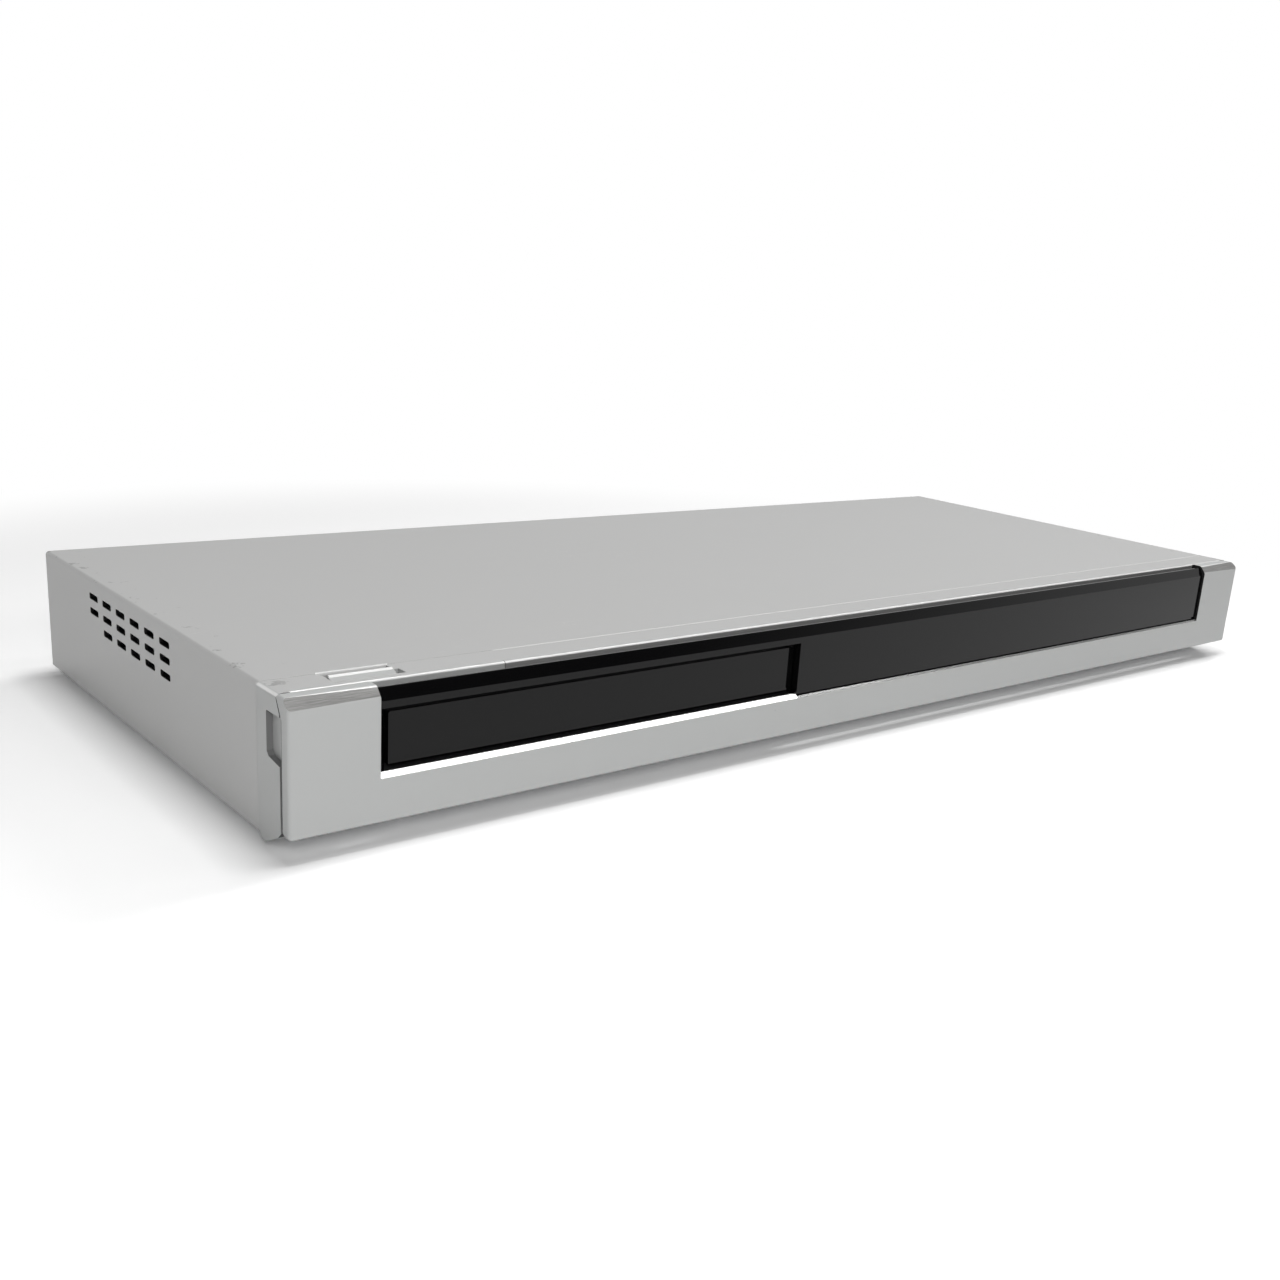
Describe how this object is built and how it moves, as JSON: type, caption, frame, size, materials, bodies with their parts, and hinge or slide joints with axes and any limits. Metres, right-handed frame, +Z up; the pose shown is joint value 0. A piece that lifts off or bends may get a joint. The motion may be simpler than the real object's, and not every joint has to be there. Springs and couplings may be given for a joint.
{
  "type": "disc recorder",
  "caption": "Slim silver disc recorder with a fold-down smoked front door, a motor-driven disc tray and a hard disk inside.",
  "frame": {"origin": "centre of the bounding box's base, on the surface the feet stand on", "axes": "+X to the viewer's right, +Y to the rear, +Z up; the front faces -Y"},
  "size_m": [0.43, 0.19, 0.0413],
  "materials": {
    "zinc_steel": "zinc plated",
    "silver_paint": "satin silver",
    "silver_plastic": "satin silver",
    "bright_trim": "polished",
    "black_gloss": "gloss black",
    "rubber": "matt",
    "bright_steel": "bright",
    "smoked_window": "smoked gloss",
    "display_glass": "dark glass",
    "black_plastic": "matt black",
    "white_plastic": "natural",
    "circuit_board": "green solder mask",
    "cast_aluminium": "cast",
    "aluminium": "extruded",
    "plated_steel": "plated",
    "ferrite": "ferrite and tape",
    "capacitor_sleeve": "shrink sleeve",
    "cable": "flat cable"
  },
  "bodies": {
    "cabinet": {"base_chassis": "zinc_steel", "top_cover": "silver_paint", "rear_panel": "zinc_steel", "feet": "rubber", "cover_screws": "bright_steel", "chassis_screws": "bright_steel", "front_panel": "silver_plastic", "top_lip": "bright_trim", "front_board": "circuit_board", "display_module": "display_glass", "key_switches": "black_plastic", "front_usb_socket": "plated_steel", "memory_card_slot": "plated_steel", "ic_card_slot": "plated_steel", "drive_frame": "black_plastic", "loading_motor": "plated_steel", "loading_belt": "rubber", "clamp_bridge": "plated_steel", "hard_disk": "cast_aluminium", "disk_bracket": "zinc_steel", "disk_dampers": "rubber", "power_board": "circuit_board", "power_transformer": "ferrite", "filter_capacitors": "capacitor_sleeve", "power_heat_sink": "aluminium", "mains_inlet": "black_plastic", "main_board": "circuit_board", "processor_heat_sink": "aluminium", "tuner_module": "plated_steel", "hdmi_socket": "plated_steel", "lan_socket": "plated_steel", "optical_socket": "black_plastic", "av_sockets": "black_plastic", "fan_housing": "black_plastic", "ribbon_cables": "cable"},
    "door": {"front_door": "silver_plastic", "door_window": "smoked_window", "door_hinge_pins": "bright_steel"},
    "power_key": {"power_button": "silver_plastic"},
    "open_key": {"open_button": "silver_plastic"},
    "stop_key": {"stop_button": "silver_plastic"},
    "play_key": {"play_button": "silver_plastic"},
    "record_key": {"record_button": "silver_plastic"},
    "channel_down_key": {"channel_down_button": "silver_plastic"},
    "channel_up_key": {"channel_up_button": "silver_plastic"},
    "tray": {"disc_tray": "black_plastic", "tray_front": "black_gloss"},
    "drive_wheel": {"drive_gear": "white_plastic"},
    "pulley_wheel": {"pulley_gear": "white_plastic"},
    "motor_shaft": {"motor_pulley": "white_plastic"},
    "traverse": {"traverse_chassis": "black_plastic", "spindle_motor": "plated_steel", "guide_rods": "bright_steel", "sled_motor": "plated_steel"},
    "spindle": {"turntable": "black_plastic"},
    "pickup": {"pickup_head": "cast_aluminium"},
    "screw": {"lead_screw": "bright_steel"},
    "clamp": {"clamper": "black_plastic"},
    "cam": {"cam_slider": "white_plastic"},
    "fan": {"fan_rotor": "black_plastic"}
  },
  "joints": [
    {"name": "door_hinge", "type": "hinge", "parent": "cabinet", "child": "door", "pos_m": [0, -0.0928, 0.00835], "axis": [1, 0, 0], "range_deg": [0, 85]},
    {"name": "tray_slide", "type": "slide", "parent": "cabinet", "child": "tray", "axis": [0, -1, 0], "range_m": [0, 0.13]},
    {"name": "drive_wheel_spin", "type": "hinge", "parent": "cabinet", "child": "drive_wheel", "pos_m": [-0.06625, -0.071, 0.014], "axis": [0, 0, 1], "continuous": true},
    {"name": "pulley_wheel_spin", "type": "hinge", "parent": "cabinet", "child": "pulley_wheel", "pos_m": [-0.08125, -0.071, 0.014], "axis": [0, 0, 1], "continuous": true},
    {"name": "motor_shaft_spin", "type": "hinge", "parent": "cabinet", "child": "motor_shaft", "pos_m": [-0.11375, -0.071, 0.014], "axis": [0, 0, 1], "continuous": true},
    {"name": "traverse_lift", "type": "hinge", "parent": "cabinet", "child": "traverse", "pos_m": [-0.11875, 0.057, 0.018], "axis": [-1, 0, 0], "range_deg": [0, 4.48]},
    {"name": "cam_slide", "type": "slide", "parent": "cabinet", "child": "cam", "axis": [1, 0, 0], "range_m": [0, 0.01202]},
    {"name": "turntable_spin", "type": "hinge", "parent": "traverse", "child": "spindle", "pos_m": [-0.11875, -0.02537, 0.01957], "axis": [0, -0.0781, 0.9969], "continuous": true},
    {"name": "clamper_spin", "type": "hinge", "parent": "cabinet", "child": "clamp", "pos_m": [-0.11875, -0.025, 0.032], "axis": [0, 0, 1], "continuous": true},
    {"name": "pickup_slide", "type": "slide", "parent": "traverse", "child": "pickup", "axis": [0, 0.9969, 0.0781], "range_m": [0, 0.034]},
    {"name": "lead_screw_spin", "type": "hinge", "parent": "traverse", "child": "screw", "pos_m": [-0.14975, 0.02035, 0.01212], "axis": [0, 0.9969, 0.0781], "continuous": true},
    {"name": "fan_spin", "type": "hinge", "parent": "cabinet", "child": "fan", "pos_m": [0.134, 0.076, 0.0225], "axis": [0, 1, 0], "continuous": true},
    {"name": "power_press", "type": "slide", "parent": "cabinet", "child": "power_key", "axis": [0, 0, -1], "range_m": [0, 0.0006], "stiffness_N_per_m": 800},
    {"name": "open_press", "type": "slide", "parent": "cabinet", "child": "open_key", "axis": [0, 1, 0], "range_m": [0, 0.0005], "stiffness_N_per_m": 500},
    {"name": "stop_press", "type": "slide", "parent": "cabinet", "child": "stop_key", "axis": [0, 1, 0], "range_m": [0, 0.0005], "stiffness_N_per_m": 500},
    {"name": "play_press", "type": "slide", "parent": "cabinet", "child": "play_key", "axis": [0, 1, 0], "range_m": [0, 0.0005], "stiffness_N_per_m": 500},
    {"name": "record_press", "type": "slide", "parent": "cabinet", "child": "record_key", "axis": [0, 1, 0], "range_m": [0, 0.0005], "stiffness_N_per_m": 500},
    {"name": "channel_down_press", "type": "slide", "parent": "cabinet", "child": "channel_down_key", "axis": [0, 1, 0], "range_m": [0, 0.0005], "stiffness_N_per_m": 500},
    {"name": "channel_up_press", "type": "slide", "parent": "cabinet", "child": "channel_up_key", "axis": [0, 1, 0], "range_m": [0, 0.0005], "stiffness_N_per_m": 500}
  ],
  "couplings": [
    {"joint": "drive_wheel_spin", "follows": "tray_slide", "rad_per_m": -125},
    {"joint": "pulley_wheel_spin", "follows": "tray_slide", "rad_per_m": 321.43},
    {"joint": "motor_shaft_spin", "follows": "tray_slide", "rad_per_m": 1092.9},
    {"joint": "cam_slide", "follows": "traverse_lift", "m_per_rad": 0.15347},
    {"joint": "clamper_spin", "follows": "turntable_spin", "ratio": 1},
    {"joint": "lead_screw_spin", "follows": "pickup_slide", "rad_per_m": 2094.4}
  ]
}
